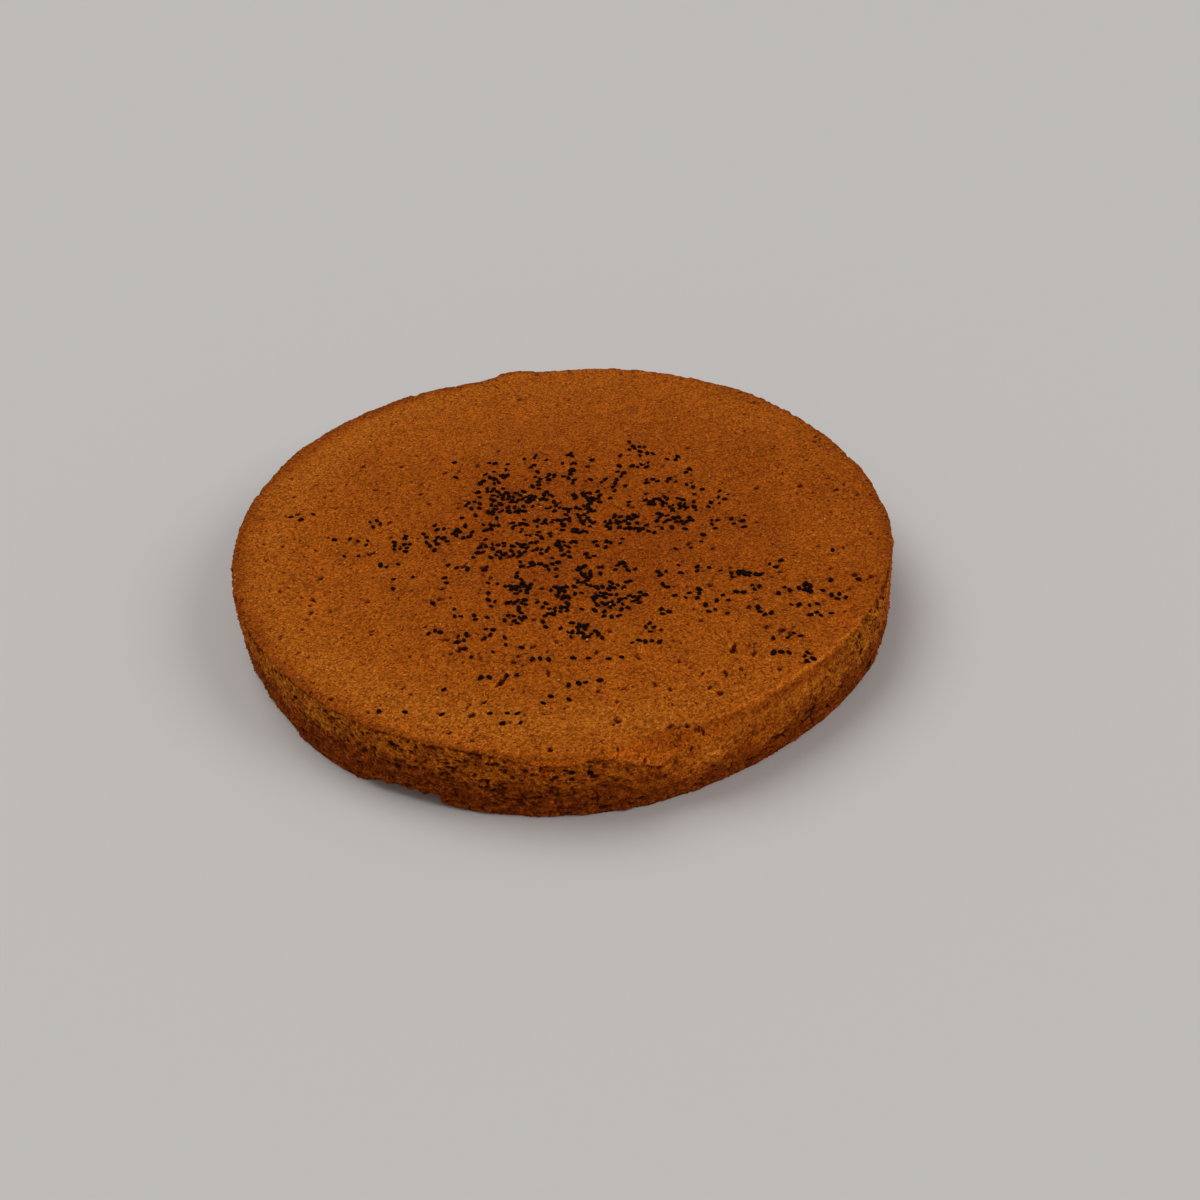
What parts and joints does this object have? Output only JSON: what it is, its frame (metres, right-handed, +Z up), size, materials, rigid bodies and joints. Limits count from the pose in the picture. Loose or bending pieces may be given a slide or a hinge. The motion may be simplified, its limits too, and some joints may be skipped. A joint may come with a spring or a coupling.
{
  "type": "round sweet bread",
  "caption": "Flat round sweet bread with a straight crumbly side, a browned sandy crust and small dark seeds strewn over the middle of its top.",
  "frame": {"origin": "middle of the flat underside that the bread rests on", "axes": "+Z up out of the seeded top, -Y towards the side that the picture shows as the front, +X to the right as seen from there"},
  "size_m": [0.2487, 0.2481, 0.0305],
  "materials": {
    "crust": "matte"
  },
  "bodies": {
    "root": {"sweet_bread": "crust"}
  },
  "joints": []
}
